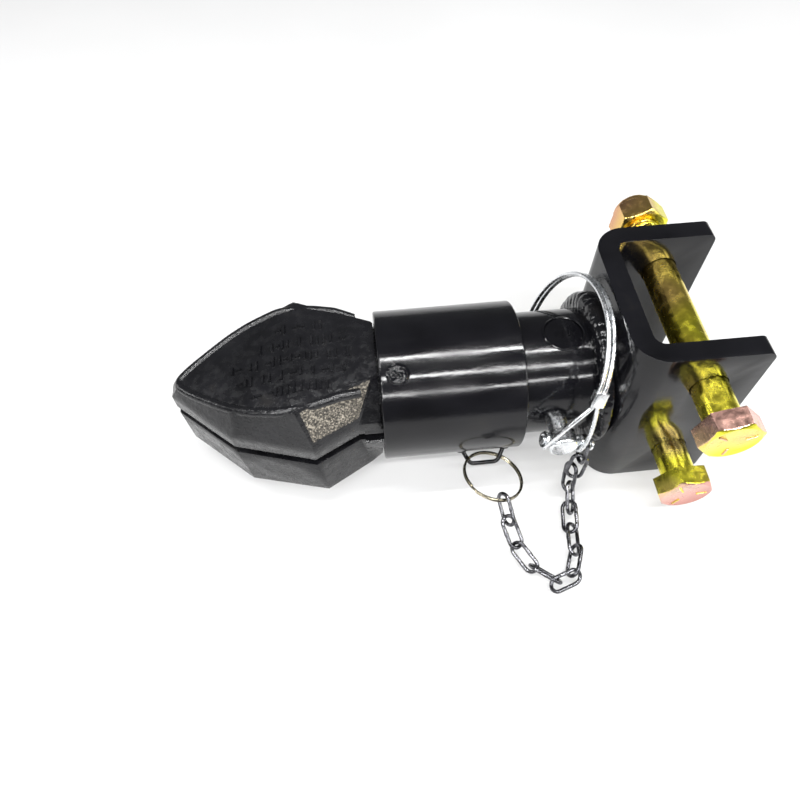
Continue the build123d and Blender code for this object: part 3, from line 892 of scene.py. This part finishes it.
def rough_facet():
    """Coarse cast skin on the facet between the jaw's widest corner and its neck."""
    columns, rows = 110, 70
    verts = []
    top = (30.7 - 11.0) / 17.0
    for i in range(rows):
        for j in range(columns):
            u = 0.03 + 0.94 * j / (columns - 1)
            v = 0.16 + (top - 0.16) * i / (rows - 1)
            border = min(1.0, 9 * min(i, rows - 1 - i) / rows, 14 * min(j, columns - 1 - j) / columns)
            sample = Vector((u * 26, v * 17, 1.7))
            grain = 0.22 * noise.noise(sample * 2.2) + 0.16 * noise.noise(sample * 5.5)
            verts.append(facet_point(u, v, -0.12 + border * (0.30 + grain)))
    piece = mesh_object("rough_cast_facet", verts, grid_faces(rows, columns, False), 80)
    place(piece, "moving_jaw", "black_casting", material="rough_cast")


def plug_marks():
    """Three plain bars on the plug in the tube."""
    low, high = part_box("tail_plug")
    middle = (low + high) / 2
    parts = []
    for offset, length in ((-3.0, 3.6), (0.0, 4.4), (3.2, 3.0)):
        centre = Vector((middle.x + offset * MM, 0.0, high.z))
        parts.append(bar(centre, Vector((0.3, 0.954, 0)), Vector((0.954, -0.3, 0)), Vector((0, 0, 1)),
                         (length * MM, 0.9 * MM, 0.8 * MM)))
    rim = []
    for k in range(96):
        a = 2 * math.pi * k / 96
        r = (high.x - low.x) / 2 + (0.35 + 0.25 * math.sin(3 * a + 1)) * MM
        y = r * math.sin(a)
        rim.append(Vector((middle.x + r * math.cos(a), y, math.sqrt(TUBE_R**2 - y * y) + 0.1 * MM)))
    parts.append(tube(rim, 0.55 * MM, closed=True, sides=10))
    place(joined("plug_bars", parts), "coupler", "gloss_black")


# --- camera, floor and light ---

def camera():
    """Stands where the picture was taken from."""
    right = Vector((-0.995, 0.099, -0.012))
    down = Vector((0.089, 0.831, -0.549))
    back = right.cross(-down).normalized()
    up = back.cross(right).normalized()
    right = up.cross(back).normalized()
    turn = Matrix((right, up, back)).transposed().to_4x4()
    data = bpy.data.cameras.new("camera")
    data.lens = 29.65
    data.sensor_width = 36.0
    data.clip_start = 0.01
    obj = bpy.data.objects.new("camera", data)
    obj.matrix_world = Matrix.Translation((-0.03242, 0.18639, 0.26963)) @ turn
    bpy.context.scene.collection.objects.link(obj)
    bpy.context.scene.camera = obj


def area_light(name, place_at, size, power, colour=(1, 1, 1), target=(-0.07, 0, 0)):
    data = bpy.data.lights.new(name, "AREA")
    data.shape = "RECTANGLE"
    data.size, data.size_y = size
    data.energy = power
    data.color = colour
    obj = bpy.data.objects.new(name, data)
    away = (Vector(place_at) - Vector(target)).normalized()
    along = Vector((1, 0, 0))
    along = (along - away * along.dot(away)).normalized()
    up = away.cross(along)
    obj.matrix_world = Matrix.Translation(place_at) @ Matrix((along, up, away)).transposed().to_4x4()
    bpy.context.scene.collection.objects.link(obj)


def studio():
    """Pale floor, soft grey surroundings, and long strips that draw pale lines along sleeve and tube."""
    side, clearance = 3.0, 0.0002
    corners = ((-side, -side), (side, -side), (side, side), (-side, side))
    floor = mesh_object("floor", [(x, y, FLOOR_Z - clearance) for x, y in corners], [(0, 1, 2, 3)])
    floor.data.materials.append(pale_floor())
    world = bpy.data.worlds.new("soft_world")
    world.use_nodes = True
    world.node_tree.nodes["Background"].inputs["Color"].default_value = (0.96, 0.98, 1.0, 1.0)
    world.node_tree.nodes["Background"].inputs["Strength"].default_value = 0.16
    bpy.context.scene.world = world
    area_light("strip_top", (-0.1, -0.04, 0.95), (1.5, 0.035), 16.0)
    area_light("strip_middle", (-0.1, 0.42, 0.84), (1.5, 0.045), 12.0)
    area_light("strip_low", (-0.1, 0.72, 0.58), (1.5, 0.030), 6.5)
    area_light("soft_front", (0.9, 0.9, 0.9), (0.5, 0.5), 9.0)
    area_light("soft_left", (1.2, -0.3, 0.5), (0.3, 0.5), 4.0)
    area_light("soft_right", (-1.3, 0.6, 0.7), (0.4, 0.4), 8.0)
    scene = bpy.context.scene
    scene.view_settings.view_transform = "Standard"
    scene.view_settings.look = "None"
    scene.view_settings.exposure = 0.0


camera()
dress_cad_nodes()
bolt("hitch_bolt_a")
bolt("hitch_bolt_b")
nut("hitch_nut_a")
nut("hitch_nut_b")
weld_bead()
spatter()
plug_weld()
staple()
split_ring()
bail()
chain()
cast_marks()
cast_rim()
rough_facet()
plug_marks()
studio()
